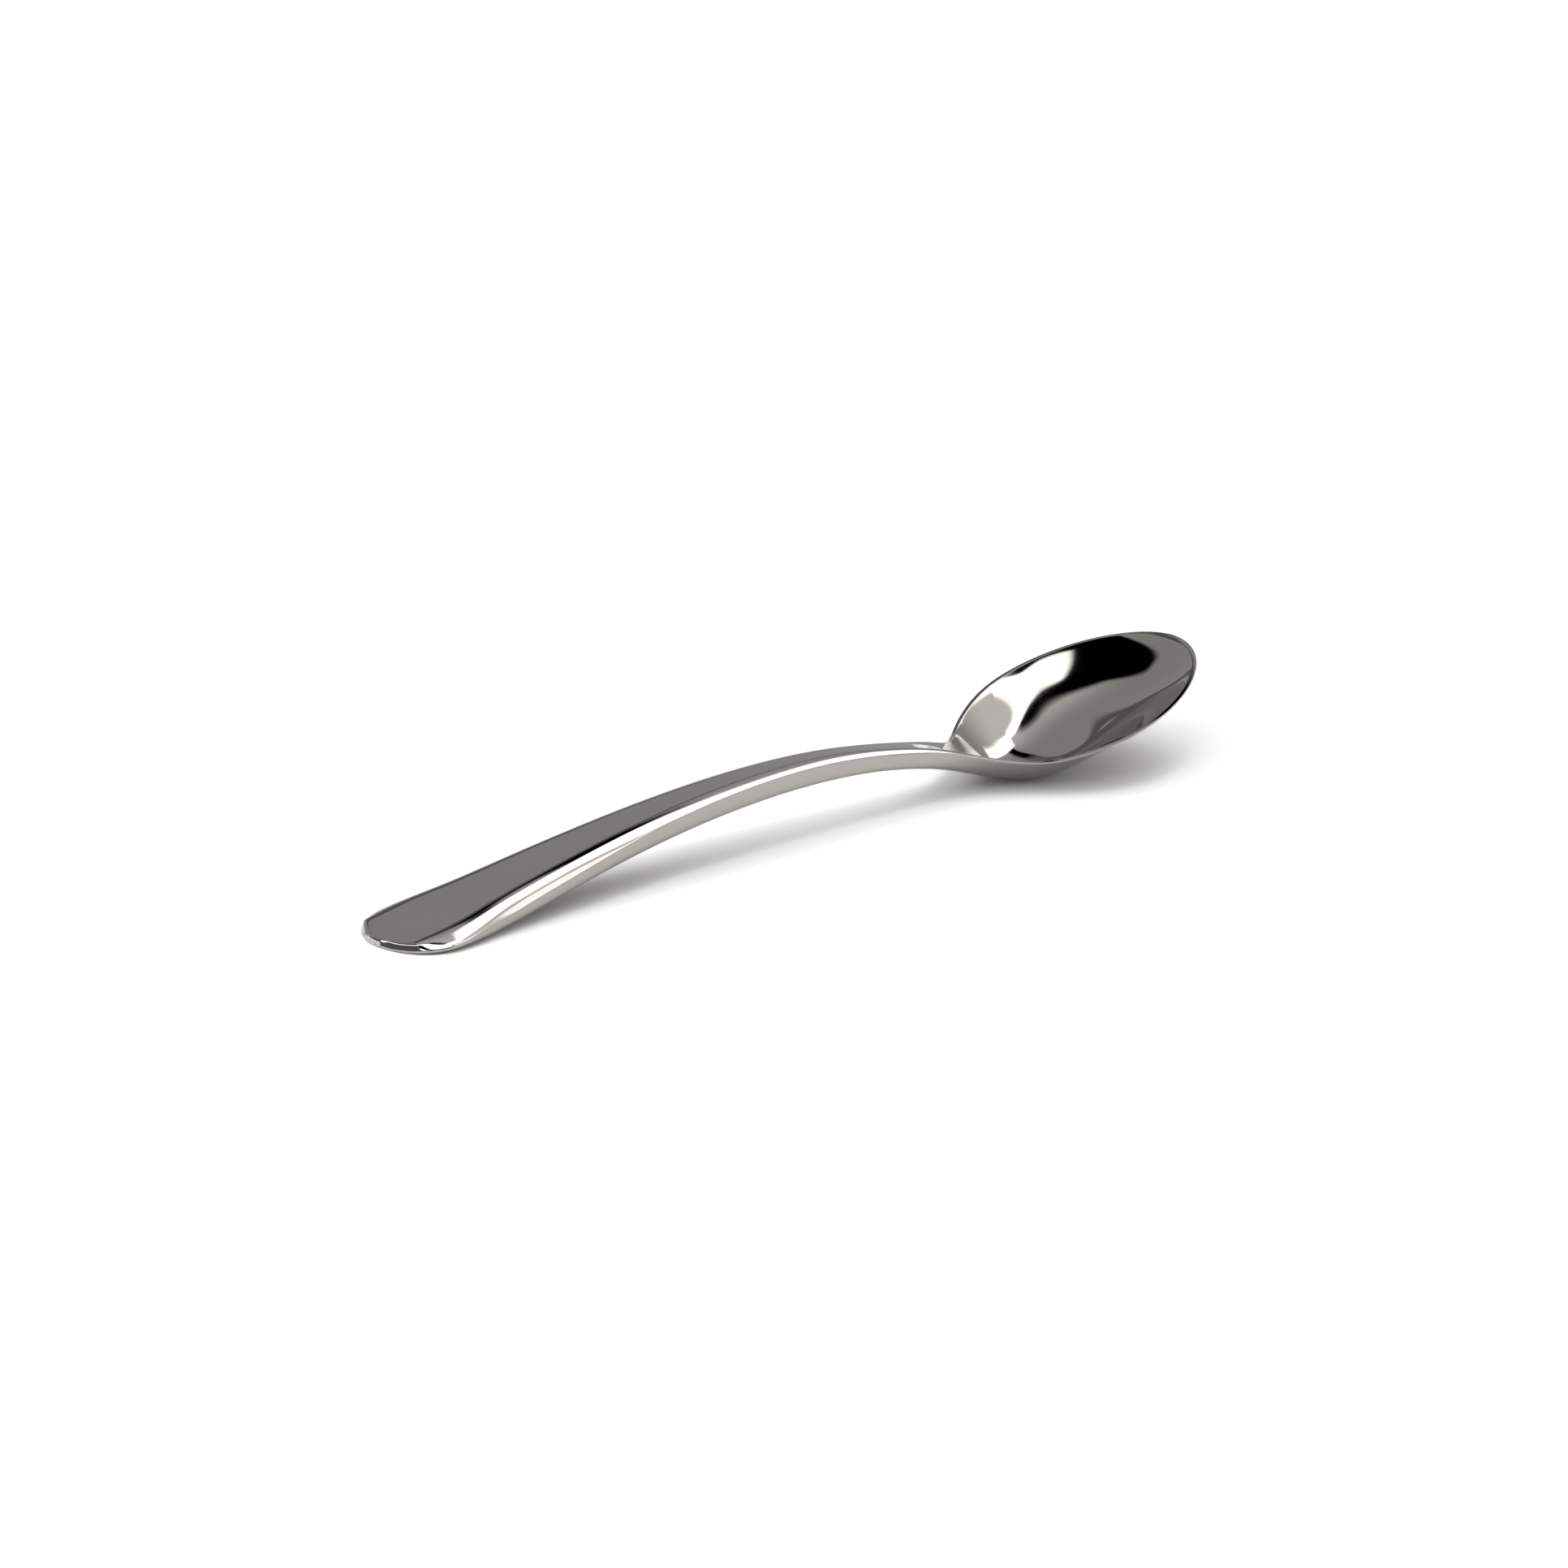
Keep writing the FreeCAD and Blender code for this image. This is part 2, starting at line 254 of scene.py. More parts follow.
# Curves along the spoon.
def smooth_curve(points, first_slope=None, last_slope=None):
    """The smooth curve through the points. A slope of None leaves that end straight."""
    xs, ys = np.array(points, dtype=float).T
    gaps = np.diff(xs)
    rises = np.diff(ys) / gaps
    last = len(xs) - 1
    rows = np.zeros((last + 1, last + 1))
    right = np.zeros(last + 1)
    for i in range(1, last):
        rows[i, i - 1:i + 2] = gaps[i], 2 * (gaps[i - 1] + gaps[i]), gaps[i - 1]
        right[i] = 3 * (rises[i - 1] * gaps[i] + rises[i] * gaps[i - 1])
    for i, inner, rise, slope in ((0, 1, rises[0], first_slope), (last, last - 1, rises[-1], last_slope)):
        if slope is None:
            rows[i, i], rows[i, inner], right[i] = 2, 1, 3 * rise
        else:
            rows[i, i], right[i] = 1, slope
    slopes = np.linalg.solve(rows, right)

    def value(x):
        x = np.asarray(x, dtype=float)
        inside = np.clip(x, xs[0], xs[-1])
        i = np.clip(np.searchsorted(xs, inside, side="right") - 1, 0, last - 1)
        t = (inside - xs[i]) / gaps[i]
        left = ys[i] * (1 + 2 * t) + gaps[i] * slopes[i] * t
        after = ys[i + 1] * (3 - 2 * t) - gaps[i] * slopes[i + 1] * (1 - t)
        beyond = np.where(x < xs[0], slopes[0], slopes[-1]) * (x - inside)
        return left * (1 - t) ** 2 + after * t ** 2 + beyond

    return value


def law(table, first_slope=None, last_slope=None):
    """The smooth curve through a table of values at the named stations."""
    return smooth_curve([(AT[name], value) for name, value in table.items()], first_slope, last_slope)


width_law = law(WIDTH, 0.0, 0.0)
top_law = law(TOP)
under_law = law(UNDER, 0.0, None)
shoulder_law = law(SHOULDER, None, 0.0)
drop_law = law(DROP, None, 0.0)


def solid_height(x):
    """Height from the underside to the top, as if there were no hollow."""
    return top_law(x) - under_law(x)


neck_height = float(solid_height(AT["neck"]))
neck_growth = (float(solid_height(AT["neck"] + NEAR)) - neck_height) / NEAR
wall_law = smooth_curve(
    [(AT["neck"], neck_height)] + [(AT[name], value) for name, value in WALL.items()], neck_growth, 0.0)


def ease(x, start, stop):
    """0 before the start and 1 after the stop, with a smooth step between."""
    t = np.clip((x - start) / (stop - start), 0.0, 1.0)
    return t * t * (3 - 2 * t)


def blend(first, second, share):
    """The first numbers, moved by this share towards the second."""
    return [a + (b - a) * share for a, b in zip(first, second)]


def rounded(along, reach, half, roundness):
    """Half width of a round end, at a distance from its widest place."""
    share = np.clip(along / reach, 0.0, 1.0)
    return half * (1 - share ** roundness) ** (1 / roundness)


def outline(x, inset=0.0):
    """Half width of the plan outline, moved in by the inset."""
    tail, beam = AT["tail"], AT["beam"]
    ending = rounded(tail - x, tail - inset, WIDTH["tail"] / 2 - inset, TAIL_ROUNDNESS)
    nose = rounded(x - beam, BOWL_END - beam - inset, WIDTH["beam"] / 2 - inset, NOSE_ROUNDNESS)
    return np.where(x < tail, ending, np.where(x > beam, nose, width_law(x) / 2 - inset))


def side_face(x):
    """Half width of the flat top between the long shoulders, carried on straight to the end."""
    tail = AT["tail"]
    at_tail = float(width_law(tail)) / 2 - float(shoulder_law(tail))
    slope = (float(width_law(tail + NEAR)) / 2 - float(shoulder_law(tail + NEAR)) - at_tail) / NEAR
    body = np.where(x > AT["flare"], outline(x, RIM), width_law(x) / 2 - shoulder_law(x))
    return np.where(x < tail, at_tail + slope * (x - tail), body)


def corner_at():
    """Where the end's narrow shoulder meets the wide side shoulders in a corner."""
    low, high = END_SHOULDER, AT["tail"]
    for _ in range(HALVINGS):
        middle = (low + high) / 2
        if outline(np.array(middle), END_SHOULDER) < side_face(np.array(middle)):
            low = middle
        else:
            high = middle
    return low


CORNER = corner_at()


def stations(spacing):
    """Places of the sections, evenly spaced along the outline and exact at the corner and lip."""
    turn = np.linspace(0, math.pi / 2, END_SAMPLES)
    tail, beam = AT["tail"], AT["beam"]
    fine = np.concatenate([
        tail * (1 - np.cos(turn)), np.linspace(tail, beam, BODY_SAMPLES)[1:],
        beam + (BOWL_END - beam) * np.sin(turn)[1:]])
    half = outline(fine)
    run = np.concatenate([[0], np.cumsum(np.hypot(np.diff(fine), np.diff(half)))])
    count = int(run[-1] / spacing)
    even = np.interp(np.linspace(0, run[-1], count + 1), run, fine)
    marks = [CORNER - CORNER_GAP, CORNER, CORNER + CORNER_GAP, LIP]
    even = np.array([x for x in even if min(abs(x - mark) for mark in marks) > MARK_GAP])
    return np.sort(np.concatenate([even, marks]))


# The section, as Bezier strips.
def points(*columns):
    """Stacks pairs of half width and height as the poles of one strip, section by section."""
    return np.stack([np.stack(np.broadcast_arrays(*column), axis=-1) for column in columns], axis=1)


def straight(strip):
    """A straight line between two poles, written with four poles."""
    first, last = strip[:, 0], strip[:, 1]
    return np.stack([first, first + (last - first) / 3, last + (first - last) / 3, last], axis=1)


def bent(first, middle, last):
    """A quadratic curve, written with four poles."""
    return np.stack([first, first + (middle - first) * 2 / 3,
                     last + (middle - last) * 2 / 3, last], axis=1)


def cut(strip, at_start, at_stop):
    """The part of a strip that is left when a length is taken off at its start and its stop."""
    def share(first, second, length):
        speed = 3 * np.linalg.norm(first - second, axis=-1)
        return np.clip(length / np.maximum(speed, TINY), 0.0, MOST_CUT)

    start = share(strip[:, 0], strip[:, 1], at_start)
    stop = 1 - share(strip[:, 3], strip[:, 2], at_stop)

    def polar(*params):
        poles = strip
        for t in params:
            t = t[:, None, None]
            poles = poles[:, :-1] * (1 - t) + poles[:, 1:] * t
        return poles[:, 0]

    return np.stack([polar(start, start, start), polar(start, start, stop),
                     polar(start, stop, stop), polar(stop, stop, stop)], axis=1)


def half_section(x, settings):
    """Strips from the middle of the top, over the side, to the middle of the underside."""
    half = outline(x)
    drop = drop_law(x)
    edge = top_law(x) - drop
    at_end = x <= CORNER
    face = np.where(at_end, outline(x, END_SHOULDER), side_face(x))
    past = np.where(at_end, 1 - x / END_SHOULDER, 1 - (BOWL_END - x) / RIM)
    face = np.maximum(face, TIP_FACE * half)
    top = top_law(x) - drop * np.clip(past, 0.0, 1.0) ** 2
    share = ease(x, AT["neck"], AT["flare"])
    land = edge - (HANDLE_LAND + (RIM_LAND - HANDLE_LAND) * share)
    under = np.where(x > AT["tail"], under_law(x), 0.0)
    nose = ease(x, AT["beam"], LIP)
    wall = wall_law(x) + (solid_height(x) - wall_law(x)) * ease(x, AT["scoop"], LIP) ** 2
    hollow = np.where(x > AT["neck"], np.clip(solid_height(x) - wall, 0.0, None), 0.0)
    hollow = np.where(x > LIP, 0.0, hollow)

    def trough(width, brim, deep, shape):
        floor, draft, wallness = shape
        return points((width, brim), (width * (1 - draft), brim - wallness * deep),
                      (width * floor, brim - deep), (0.0 * width, brim - deep))

    bowl = blend(BOWL_TROUGH, NOSE_TROUGH, nose)
    dish = trough(face, top, hollow, bowl)[:, ::-1]
    middle = (face + SHOULDER_CROWN * (half - face), top - SHOULDER_FALL * (top - edge))
    corners = points((face, top), middle, (half, edge), (half, land))
    shoulder = bent(corners[:, 0], corners[:, 1], corners[:, 2])
    band = straight(corners[:, 2:4])
    below = trough(half, land, land - under, blend(HANDLE_TROUGH, bowl, share))

    crease, parting, lower = (getattr(settings, name) / MM
                              for name in ("crease_round", "parting_round", "under_round"))
    crease = crease * (1 - (1 - CREASE_LEFT) * ease(x, AT["tail"], AT["waist"]))
    strips = [cut(dish, 0.0, crease), cut(shoulder, crease, parting), cut(band, parting, lower),
              cut(below, lower, 0.0)]
    whole = [strips[0]]
    for before, after, corner in zip(strips, strips[1:], (0, 2, 3)):
        whole.append(bent(before[:, 3], corners[:, corner], after[:, 0]))
        whole.append(after)
    return whole


# Node trees.
def node(tree, kind, inputs=None, **settings):
    """Adds a node. Inputs take either a value or another node's output socket."""
    made = tree.nodes.new(kind)
    for name, value in settings.items():
        setattr(made, name, value)
    for name, value in (inputs or {}).items():
        if isinstance(value, bpy.types.NodeSocket):
            tree.links.new(value, made.inputs[name])
        else:
            made.inputs[name].default_value = value
    return made


def maths(tree, operation, first, second=0.0, third=0.0):
    """Adds a maths node and returns its result."""
    return node(tree, "ShaderNodeMath", {0: first, 1: second, 2: third}, operation=operation).outputs[0]


def new_tree(name, inputs, kind="GeometryNodeTree", outputs=(("Geometry", "NodeSocketGeometry"),)):
    """Adds a node group, and returns it with the sockets it takes from and gives to."""
    tree = bpy.data.node_groups.new(name, kind)
    for label, socket_type, *default in inputs:
        socket = tree.interface.new_socket(label, in_out="INPUT", socket_type=socket_type)
        if default:
            socket.default_value = default[0]
    for label, socket_type in outputs:
        tree.interface.new_socket(label, in_out="OUTPUT", socket_type=socket_type)
    return tree, tree.nodes.new("NodeGroupInput").outputs, tree.nodes.new("NodeGroupOutput").inputs


def finish_tree(tree, geometry, material, output):
    """Makes instances real, gives everything the material and sends it to the output."""
    real = node(tree, "GeometryNodeRealizeInstances", {"Geometry": geometry})
    dressed = node(tree, "GeometryNodeSetMaterial",
                   {"Geometry": real.outputs["Geometry"], "Material": material})
    tree.links.new(dressed.outputs["Geometry"], output)


def bake(name, mesh, tree, values):
    """Runs the tree on the mesh and returns its result as a plain object with this name."""
    source = bpy.data.objects.new(name + "_source", mesh)
    bpy.context.scene.collection.objects.link(source)
    modifier = source.modifiers.new("Nodes", "NODES")
    modifier.node_group = tree
    for item in tree.interface.items_tree:
        if item.item_type == "SOCKET" and item.in_out == "INPUT" and item.name in values:
            modifier[item.identifier] = values[item.name]
    bpy.context.view_layer.update()
    graph = bpy.context.evaluated_depsgraph_get()
    made = bpy.data.meshes.new_from_object(source.evaluated_get(graph), depsgraph=graph)
    bpy.data.objects.remove(source)
    bpy.data.meshes.remove(mesh)
    if not made.polygons:
        raise RuntimeError("%s came out empty" % name)
    made.name = name
    result = bpy.data.objects.new(name, made)
    bpy.context.scene.collection.objects.link(result)
    return result


def strip_tree():
    """One strip of the skin: a grid bent over four rows of poles that run along the spoon."""
    tree, given, out = new_tree("Spoon Strip", [
        ("Net", "NodeSocketGeometry"), ("Sections", "NodeSocketInt", 300),
        ("Poles", "NodeSocketInt", 28), ("First Pole", "NodeSocketInt", 0),
        ("Steps", "NodeSocketInt", 8)])
    across = maths(tree, "ADD", given["Steps"], 1)
    grid = node(tree, "GeometryNodeMeshGrid", {"Vertices X": given["Sections"], "Vertices Y": across})
    index = tree.nodes.new("GeometryNodeInputIndex").outputs[0]
    place = maths(tree, "FLOOR", maths(tree, "DIVIDE", maths(tree, "ADD", index, 0.5), across))
    step = maths(tree, "SUBTRACT", index, maths(tree, "MULTIPLY", place, across))
    t = maths(tree, "DIVIDE", step, given["Steps"])
    rest = maths(tree, "SUBTRACT", 1.0, t)
    first = maths(tree, "MULTIPLY_ADD", place, given["Poles"], given["First Pole"])
    position = tree.nodes.new("GeometryNodeInputPosition").outputs[0]
    total = None
    for i, share in enumerate((1, 3, 3, 1)):
        weight = maths(tree, "MULTIPLY", maths(tree, "POWER", rest, 3 - i), maths(tree, "POWER", t, i))
        pole = node(tree, "GeometryNodeSampleIndex", {
            "Geometry": given["Net"], "Value": position, "Index": maths(tree, "ADD", first, i),
        }, data_type="FLOAT_VECTOR", domain="POINT")
        scaled = node(tree, "ShaderNodeVectorMath", {
            0: pole.outputs[0], "Scale": maths(tree, "MULTIPLY", weight, share),
        }, operation="SCALE").outputs[0]
        total = scaled if total is None else node(
            tree, "ShaderNodeVectorMath", {0: total, 1: scaled}, operation="ADD").outputs[0]
    bent_grid = node(tree, "GeometryNodeSetPosition", {
        "Geometry": grid.outputs["Mesh"], "Position": total})
    tree.links.new(bent_grid.outputs["Geometry"], out["Geometry"])
    return tree


def skin_tree():
    """The whole skin: strips side by side, mirrored to the other side and closed."""
    steps = ["Top Steps", "Rounding Steps", "Shoulder Steps", "Rounding Steps", "Land Steps",
             "Rounding Steps", "Underside Steps"]
    tree, given, out = new_tree("Spoon Skin", [
        ("Net", "NodeSocketGeometry"), ("Sections", "NodeSocketInt", 300),
        ("Top Steps", "NodeSocketInt", 24), ("Rounding Steps", "NodeSocketInt", 4),
        ("Shoulder Steps", "NodeSocketInt", 9), ("Land Steps", "NodeSocketInt", 2),
        ("Underside Steps", "NodeSocketInt", 26), ("Merge Distance", "NodeSocketFloat", 1e-7),
        ("Material", "NodeSocketMaterial")])
    strip = strip_tree()
    join = tree.nodes.new("GeometryNodeJoinGeometry")
    for i, label in enumerate(steps):
        part = tree.nodes.new("GeometryNodeGroup")
        part.node_tree = strip
        for name, value in (("Net", given["Net"]), ("Sections", given["Sections"]),
                            ("Steps", given[label])):
            tree.links.new(value, part.inputs[name])
        part.inputs["Poles"].default_value = POLES_PER_STRIP * len(steps)
        part.inputs["First Pole"].default_value = POLES_PER_STRIP * i
        tree.links.new(part.outputs["Geometry"], join.inputs["Geometry"])
    near = node(tree, "GeometryNodeTransform", {
        "Geometry": join.outputs["Geometry"], "Scale": (1.0, -1.0, 1.0)})
    near = node(tree, "GeometryNodeFlipFaces", {"Mesh": near.outputs["Geometry"]})
    both = tree.nodes.new("GeometryNodeJoinGeometry")
    tree.links.new(join.outputs["Geometry"], both.inputs["Geometry"])
    tree.links.new(near.outputs["Mesh"], both.inputs["Geometry"])
    closed = node(tree, "GeometryNodeMergeByDistance", {
        "Geometry": both.outputs["Geometry"], "Distance": given["Merge Distance"]})
    smooth = node(tree, "GeometryNodeSetShadeSmooth", {"Geometry": closed.outputs["Geometry"]})
    finish_tree(tree, smooth.outputs["Geometry"], given["Material"], out["Geometry"])
    return tree


def shard_tree():
    """Small glassy shards strewn over the broken face."""
    tree, given, out = new_tree("Broken Plastic", [
        ("Face", "NodeSocketGeometry"), ("Shard Size", "NodeSocketFloat", 0.00013),
        ("Density", "NodeSocketFloat", 3e7), ("Seed", "NodeSocketInt", 4),
        ("Material", "NodeSocketMaterial")])
    strewn = node(tree, "GeometryNodeDistributePointsOnFaces", {
        "Mesh": given["Face"], "Density": given["Density"], "Seed": given["Seed"]})
    shard = node(tree, "GeometryNodeMeshIcoSphere", {"Radius": given["Shard Size"], "Subdivisions": 1})

    def chance(low, high, shift):
        dice = node(tree, "FunctionNodeRandomValue", {
            0: low, 1: high, "Seed": maths(tree, "ADD", given["Seed"], shift)}, data_type="FLOAT_VECTOR")
        return dice.outputs["Value"]

    placed = node(tree, "GeometryNodeInstanceOnPoints", {
        "Points": strewn.outputs["Points"], "Instance": shard.outputs["Mesh"],
        "Rotation": chance((0.0, 0.0, 0.0), (FULL_TURN, FULL_TURN, FULL_TURN), 1),
        "Scale": chance(SHARD_LEAST, SHARD_MOST, 2)})
    both = tree.nodes.new("GeometryNodeJoinGeometry")
    tree.links.new(given["Face"], both.inputs["Geometry"])
    tree.links.new(placed.outputs["Instances"], both.inputs["Geometry"])
    finish_tree(tree, both.outputs["Geometry"], given["Material"], out["Geometry"])
    return tree


# Materials.
def new_material(name, colour, values):
    """A material with this colour and these values on its shader, and the shader."""
    material = bpy.data.materials.new(name)
    material.use_nodes = True
    shader = material.node_tree.nodes["Principled BSDF"]
    shader.inputs["Base Color"].default_value = (*colour, 1.0)
    for label, value in values.items():
        shader.inputs[label].default_value = value
    return material, shader


def silver_material(settings):
    """The mirror-bright coat."""
    return new_material("Bright Silver", settings.silver, {
        "Metallic": 1.0, "Roughness": settings.roughness})[0]


def plastic_material(settings):
    """The cloudy plastic under the coat, bared at the break."""
    return new_material("Bare Clear Plastic", settings.plastic, {
        "Roughness": PLASTIC_ROUGHNESS, "IOR": PLASTIC_IOR,
        "Transmission Weight": PLASTIC_CLEARNESS})[0]


def floor_material(settings):
    """Pale diffuse floor that the camera and every mirror see with a little light of its own."""
    material, shader = new_material("Pale Floor", settings.floor, {
        "Roughness": FLOOR_ROUGHNESS, "Specular IOR Level": FLOOR_SHEEN,
        "Emission Color": (1.0, 1.0, 1.0, 1.0)})
    tree = material.node_tree
    light = maths(tree, "MULTIPLY", seen_by_camera(tree), settings.fill)
    tree.links.new(light, shader.inputs["Emission Strength"])
    return material


def seen_by_camera(tree):
    """1 where a camera, glossy or transmission ray looks, and 0 for light that is passed on."""
    path = tree.nodes.new("ShaderNodeLightPath").outputs
    seen = maths(tree, "MAXIMUM", path["Is Camera Ray"], path["Is Glossy Ray"])
    return maths(tree, "MAXIMUM", seen, path["Is Transmission Ray"])


def border_group():
    """1 on the inner side of a straight border in the sky map and 0 beyond it, with a soft step."""
    tree, given, out = new_tree("Sky Border", [
        ("East", "NodeSocketFloat"), ("North", "NodeSocketFloat"), ("Border East", "NodeSocketFloat"),
        ("Border North", "NodeSocketFloat"), ("Facing", "NodeSocketFloat"),
        ("Softness", "NodeSocketFloat")], "ShaderNodeTree", (("Mask", "NodeSocketFloat"),))
    facing = maths(tree, "RADIANS", given["Facing"])
    east = maths(tree, "MULTIPLY", maths(tree, "SUBTRACT", given["East"], given["Border East"]),
                 maths(tree, "COSINE", facing))
    north = maths(tree, "MULTIPLY", maths(tree, "SUBTRACT", given["North"], given["Border North"]),
                  maths(tree, "SINE", facing))
    inward = maths(tree, "DIVIDE", maths(tree, "ADD", east, north), given["Softness"])
    step = node(tree, "ShaderNodeMapRange", {"Value": inward, "From Min": -0.5, "From Max": 0.5},
                interpolation_type="SMOOTHSTEP")
    tree.links.new(step.outputs["Result"], out["Mask"])
    return tree


# The sky over the table, painted in this order on a map centred on the zenith, in degrees: +X is
# east and +Y is north. Each patch has a setting for its brightness and straight borders, each
# written as a point on it, the way its inner side lies (0 east, 90 north) and its softness.
SKY = [
    ("dusk", [(-34, 0, 180, 10)]),
    ("dusk", [(0, -16, 270, 10)]),
    ("glow", [(0, 20, 270, 50), (50, 0, 180, 40), (0, 0, 0, 30)]),
    ("dusk", [(21, 40, 0, 2), (0, 47, 90, 4), (47.5, 56.7, 230, 4)]),
    ("gap", [(21.5, 40, 0, 1.5), (0, 21, 90, 3), (0, 46, 270, 7), (29, 0, 180, 6)]),
    ("room", [(25, 51.2, 95, 1.5), (25, 54.8, 273, 1.5), (24, 50, 0, 1), (46, 0, 180, 4)]),
    ("room", [(42, 0, 0, 4), (50, 54, 103, 2), (50, 61, 287, 2)]),
    ("haze", [(10, 0, 0, 1), (26, 0, 180, 3), (0, -14, 90, 4), (0, -1.5, 270, 1)]),
    ("softbox", [(19, 0, 0, 1.5), (20, 3, 90, 1.5), (25, 0, 115, 5), (23, 21, 290, 3),
                 (40, 30, 270, 3), (54, 0, 180, 3)]),
    ("gap", [(-30, 0, 0, 4), (2, 23, 218, 6), (0, 48, 270, 4), (13, 0, 180, 5)]),
    ("softbox", [(-46, 0, 0, 3), (-32, 0, 180, 3), (0, -34, 90, 4), (0, 42, 270, 4)]),
    ("softbox", [(0, 3, 294, 1.5), (0, 5.3, 270, 1), (12.6, 0, 180, 1.5), (0, -14, 90, 4),
                 (-32, 0, 0, 6)]),
    ("softbox", [(7, 0, 0, 2), (21.5, 0, 180, 1), (0, 1.8, 90, 0.8), (9.8, 5.2, 300, 0.8),
                 (0, 8, 270, 1)]),
]

# The table lamp's direction, and its width in the sky in degrees.
LAMP_FROM = (-0.30, 0.10, 1.0)
LAMP_ANGLE = 110.0


def studio_world(settings):
    """The room around the table, painted patch by patch."""
    world = bpy.data.worlds.new("Studio")
    bpy.context.scene.world = world
    world.use_nodes = True
    tree = world.node_tree
    tree.nodes.clear()
    place = tree.nodes.new("ShaderNodeTexCoord").outputs["Generated"]
    parts = node(tree, "ShaderNodeSeparateXYZ", {0: place}).outputs
    azimuth = maths(tree, "ARCTAN2", parts["Y"], parts["X"])
    from_zenith = maths(tree, "DEGREES", maths(tree, "ARCCOSINE", parts["Z"]))
    east = maths(tree, "MULTIPLY", from_zenith, maths(tree, "COSINE", azimuth))
    north = maths(tree, "MULTIPLY", from_zenith, maths(tree, "SINE", azimuth))
    group = border_group()
    light = settings.room
    for brightness, borders in SKY:
        mask = 1.0
        for border_east, border_north, facing, softness in borders:
            border = tree.nodes.new("ShaderNodeGroup")
            border.node_tree = group
            tree.links.new(east, border.inputs["East"])
            tree.links.new(north, border.inputs["North"])
            for name, value in (("Border East", border_east), ("Border North", border_north),
                                ("Facing", facing), ("Softness", softness)):
                border.inputs[name].default_value = value
            mask = maths(tree, "MULTIPLY", mask, border.outputs["Mask"])
        mixed = node(tree, "ShaderNodeMix", {"Factor": mask, "A": light,
                                             "B": getattr(settings, brightness)}, data_type="FLOAT")
        light = mixed.outputs["Result"]
    background = node(tree, "ShaderNodeBackground", {"Strength": light})
    output = tree.nodes.new("ShaderNodeOutputWorld")
    tree.links.new(background.outputs[0], output.inputs["Surface"])


# Operators.
class SPOON_OT_body(Operator):
    """Build the silver spoon in one piece"""

    bl_idname = "spoon.body"
    bl_label = "Spoon"
    bl_options = {"REGISTER", "UNDO"}

    def execute(self, context):
        settings = context.scene.spoon_settings
        x = stations(settings.spacing / MM)
        strips = np.concatenate(half_section(x, settings), axis=1)
        sections, poles = strips.shape[:2]
        net = np.empty((sections, poles, 3))
        net[:, :, 0] = (x - MIDDLE)[:, None] * (1 - CLEARANCE / (BOWL_END - MIDDLE))
        net[:, :, 1] = strips[:, :, 0] * (1 - CLEARANCE * 2 / WIDTH["beam"])
        net[:, :, 2] = strips[:, :, 1] + CLEARANCE
        mesh = bpy.data.meshes.new("poles")
        mesh.from_pydata((net.reshape(-1, 3) * MM).tolist(), [], [])
        body = bake("spoon_body", mesh, skin_tree(), {
            "Sections": sections, "Top Steps": settings.top_steps,
            "Rounding Steps": settings.round_steps, "Shoulder Steps": settings.side_steps,
            "Underside Steps": settings.under_steps, "Material": silver_material(settings)})
        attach(body, "root")
        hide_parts("spoon")
        return {"FINISHED"}


class SPOON_OT_scar(Operator):
    """Build the break left by the sprue on the handle's end"""

    bl_idname = "spoon.scar"
    bl_label = "Sprue Break"
    bl_options = {"REGISTER", "UNDO"}

    def execute(self, context):
        settings = context.scene.scar_settings
        dice = random.Random(settings.seed)
        across, up = BREAK_ACROSS, BREAK_UP
        tail = AT["tail"]
        corners = []
        for i in range(across + 1):
            y = (settings.offset + settings.width * (i / across - 0.5)) / MM
            share = (1 - (abs(y) * 2 / WIDTH["tail"]) ** TAIL_ROUNDNESS) ** (1 / TAIL_ROUNDNESS)
            x = tail * (1 - share)
            rim = min(i, across - i) / 2
            for j in range(up + 1):
                z = settings.low + (settings.high - settings.low) * j / up
                z += dice.uniform(-THROW_UP, THROW_UP) * MM
                out = min(1.0, rim) * dice.uniform(LEAST_OUT, MOST_OUT) - SUNK
                thrown = y + dice.uniform(-THROW_ACROSS, THROW_ACROSS)
                corners.append(((x - out - MIDDLE) * MM, thrown * MM, z))
        faces = [(first, first + 1, first + up + 2, first + up + 1)
                 for i in range(across) for first in range(i * (up + 1), i * (up + 1) + up)]
        mesh = bpy.data.meshes.new("break")
        mesh.from_pydata(corners, [], faces)
        scar = bake("sprue_break", mesh, shard_tree(), {
            "Shard Size": settings.shard, "Density": settings.density, "Seed": settings.seed,
            "Material": plastic_material(settings)})
        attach(scar, "root")
        return {"FINISHED"}


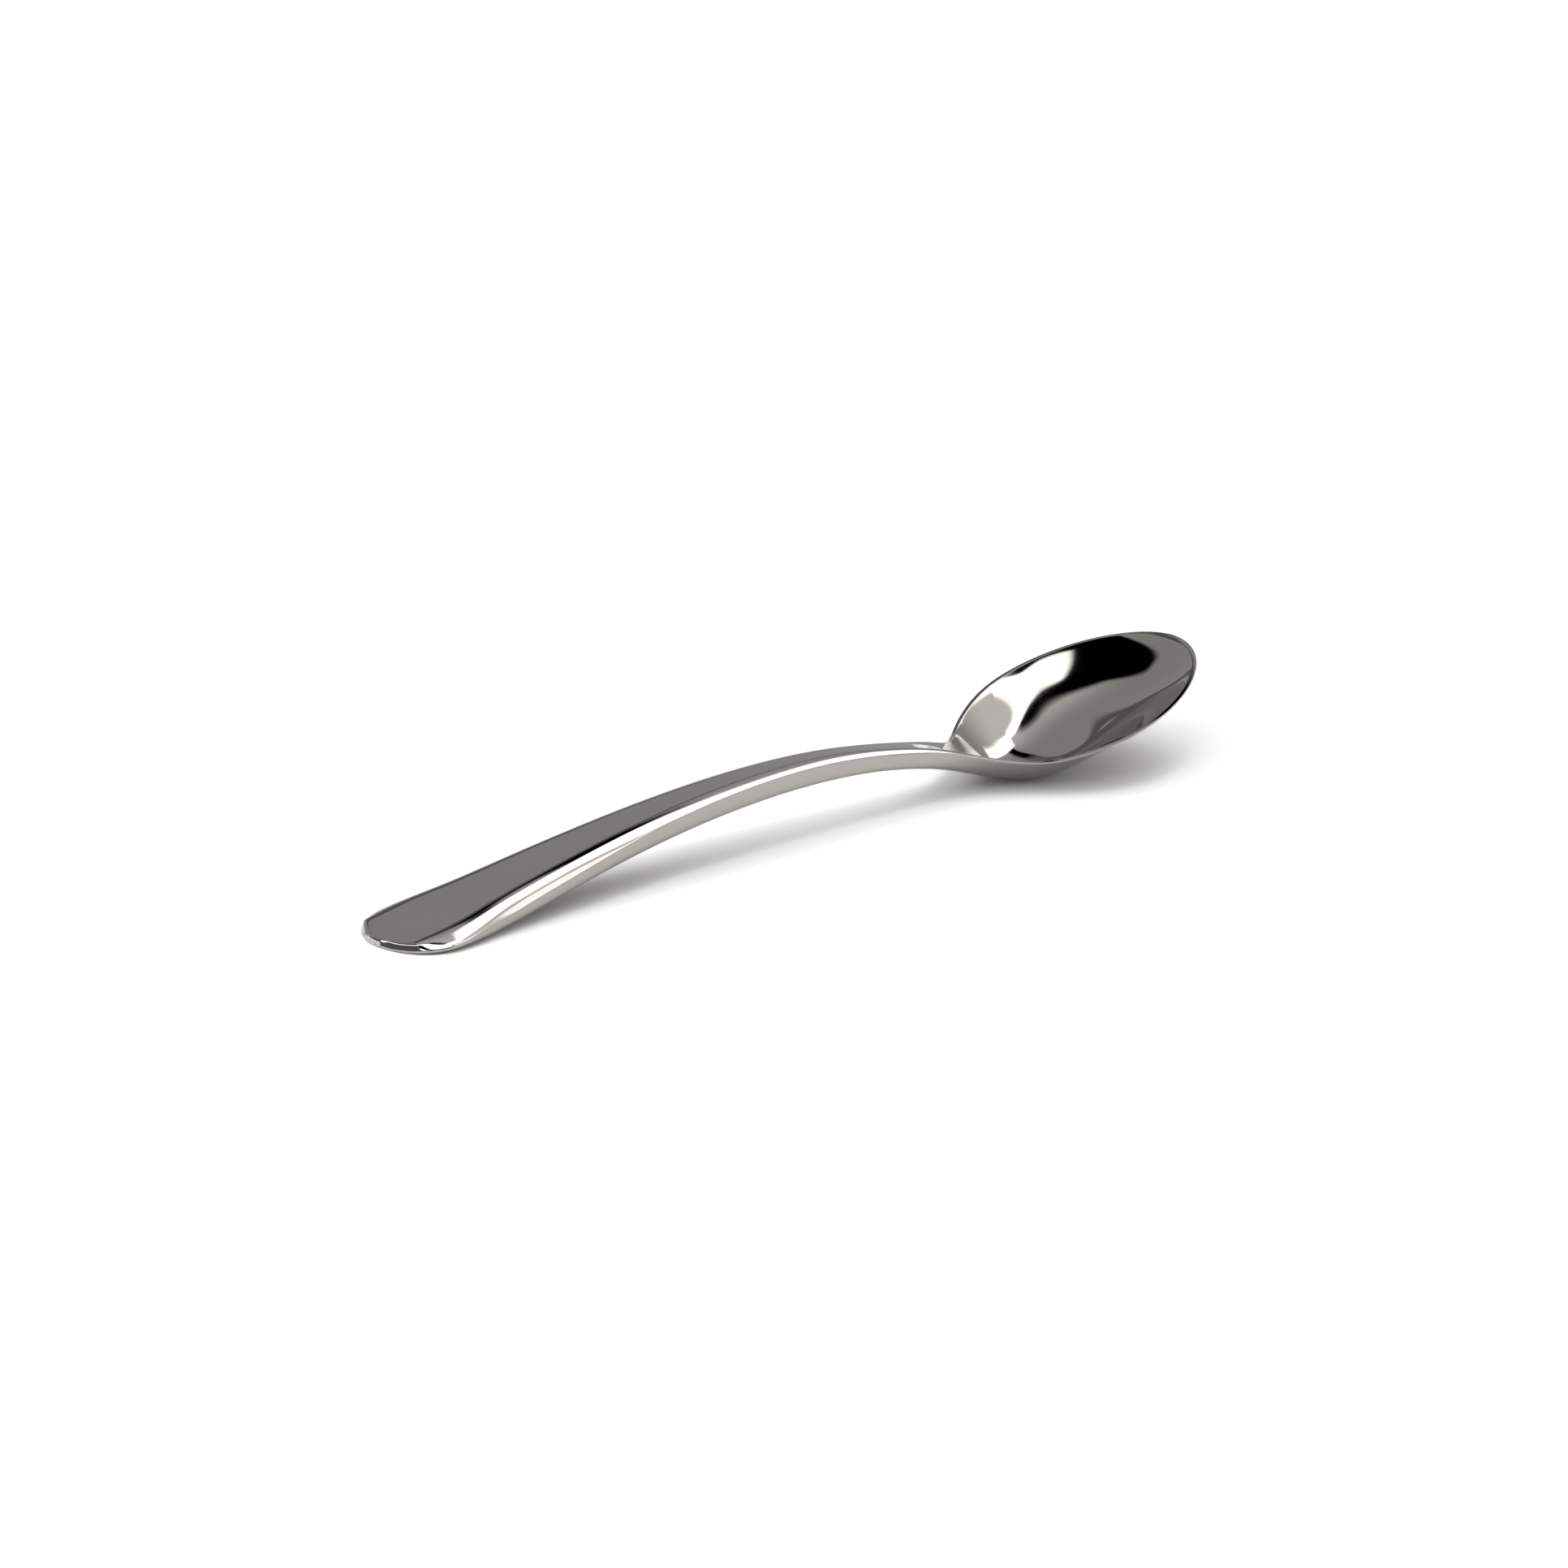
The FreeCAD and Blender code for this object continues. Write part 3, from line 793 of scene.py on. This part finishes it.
class SPOON_OT_stage(Operator):
    """Build the floor, the light and the camera"""

    bl_idname = "spoon.stage"
    bl_label = "Stage"
    bl_options = {"REGISTER", "UNDO"}

    def execute(self, context):
        scene = context.scene
        settings = scene.studio_settings
        reach = FLOOR_REACH
        mesh = bpy.data.meshes.new("floor")
        mesh.from_pydata([(-reach, -reach, 0), (reach, -reach, 0), (reach, reach, 0),
                          (-reach, reach, 0)], [], [(0, 1, 2, 3)])
        mesh.materials.append(floor_material(settings))
        floor = bpy.data.objects.new("floor", mesh)
        scene.collection.objects.link(floor)
        studio_world(settings)
        lamp = bpy.data.lights.new("table_lamp", "SUN")
        lamp.energy = settings.lamp
        lamp.angle = math.radians(LAMP_ANGLE)
        lamp_object = bpy.data.objects.new("table_lamp", lamp)
        lamp_object.rotation_euler = Vector(LAMP_FROM).to_track_quat("Z", "Y").to_euler()
        lamp_object.visible_glossy = False
        scene.collection.objects.link(lamp_object)
        scene.view_settings.view_transform = "Standard"

        turn, down = math.radians(VIEW_TURN), math.radians(VIEW_DOWN)
        right = Vector((math.cos(turn), -math.sin(turn), 0.0))
        ahead = Vector((math.sin(turn) * math.cos(down), math.cos(turn) * math.cos(down),
                        -math.sin(down)))
        up = right.cross(ahead)
        data = bpy.data.cameras.new("camera")
        data.sensor_width = SENSOR_WIDTH
        data.lens = SENSOR_WIDTH * FOCAL_PIXELS / PICTURE_PIXELS
        data.clip_start = CLIP_START
        camera = bpy.data.objects.new("camera", data)
        axes = Matrix((right, up, -ahead)).transposed().to_4x4()
        camera.matrix_world = Matrix.Translation(CAMERA_AT) @ axes
        scene.collection.objects.link(camera)
        scene.camera = camera
        return {"FINISHED"}


class SPOON_PT_panel(Panel):
    """Settings and operators of the spoon"""

    bl_idname = "SPOON_PT_panel"
    bl_label = "Bright Silver Spoon"
    bl_space_type = "VIEW_3D"
    bl_region_type = "UI"
    bl_category = "Spoon"

    def draw(self, context):
        scene = context.scene
        for group, button in ((scene.spoon_settings, "spoon.body"), (scene.scar_settings, "spoon.scar"),
                              (scene.studio_settings, "spoon.stage")):
            box = self.layout.box()
            for name in group.bl_rna.properties.keys():
                if name not in ("rna_type", "name"):
                    box.prop(group, name)
            box.operator(button)


CLASSES = (SpoonSettings, ScarSettings, StudioSettings, SPOON_OT_body, SPOON_OT_scar, SPOON_OT_stage,
           SPOON_PT_panel)


def register():
    for item in CLASSES:
        bpy.utils.register_class(item)
    bpy.types.Scene.spoon_settings = PointerProperty(type=SpoonSettings)
    bpy.types.Scene.scar_settings = PointerProperty(type=ScarSettings)
    bpy.types.Scene.studio_settings = PointerProperty(type=StudioSettings)


def unregister():
    for name in ("spoon_settings", "scar_settings", "studio_settings"):
        delattr(bpy.types.Scene, name)
    for item in reversed(CLASSES):
        bpy.utils.unregister_class(item)


def main():
    register()
    bpy.ops.spoon.body()
    bpy.ops.spoon.scar()
    bpy.ops.spoon.stage()


if __name__ == "__main__":
    main()
